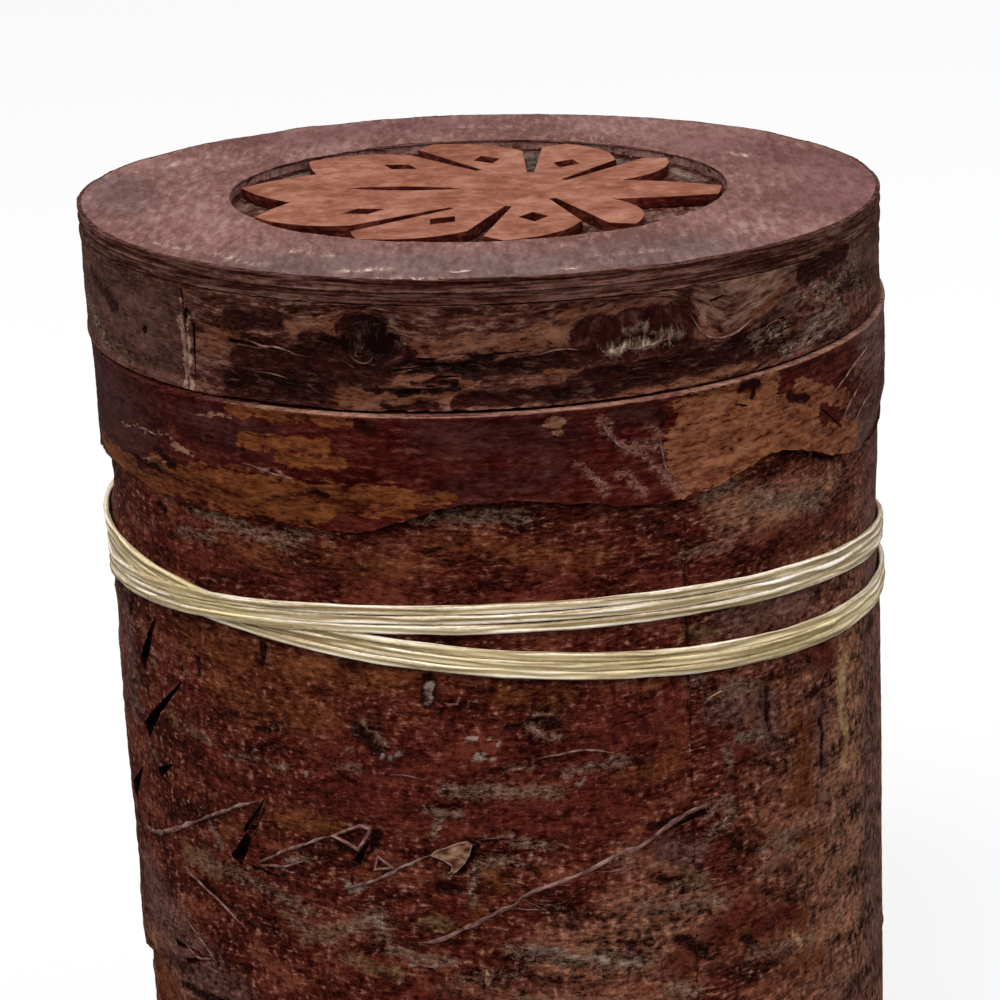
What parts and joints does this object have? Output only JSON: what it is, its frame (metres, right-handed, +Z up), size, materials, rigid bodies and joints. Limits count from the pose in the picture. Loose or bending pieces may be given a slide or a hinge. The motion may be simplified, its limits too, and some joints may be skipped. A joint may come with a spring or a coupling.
{
  "type": "bark box",
  "caption": "Round lidded box of bent bark with a liner that forms the neck, a lift-off lid with a fretwork leaf in a round recess, a wavy mouth band and a knotted raffia tie.",
  "frame": {"origin": "centre of the underside of the bottom disc", "axes": "+Z up along the box's axis, which is its longest extent; the pictured front looks towards -Y, with the lid's butt seam to the left of it"},
  "size_m": [0.103, 0.103, 0.1414],
  "materials": {
    "rough_bark": "rough red-brown outer bark with horizontal fissures and grey-green lichen",
    "scraped_bark": "scraped bark, dark maroon and orange patches, slight sheen",
    "knotted_bark": "partly scraped bark with knots and pale streaks",
    "bark_slab": "flattened bark, greyish mauve-brown, matt",
    "bark_floor": "flattened bark, grey, matt",
    "carved_bark": "smooth cut bark, orange tan, matt",
    "liner_bark": "smooth inner bark, warm brown",
    "raffia": "dry cream raffia strands, soft sheen"
  },
  "bodies": {
    "box": {"bottom_disc": "bark_slab", "body_bark": "rough_bark", "body_liner": "liner_bark", "mouth_band": "scraped_bark", "raffia_tie": "raffia", "raffia_knot": "raffia"},
    "lid": {"lid_hoop": "knotted_bark", "lid_base_disc": "bark_floor", "lid_top_ring": "bark_slab", "lid_leaf": "carved_bark"}
  },
  "joints": [
    {"name": "lid_lift", "type": "slide", "parent": "box", "child": "lid", "axis": [0, 0, 1], "range_m": [0, 0.035]}
  ]
}
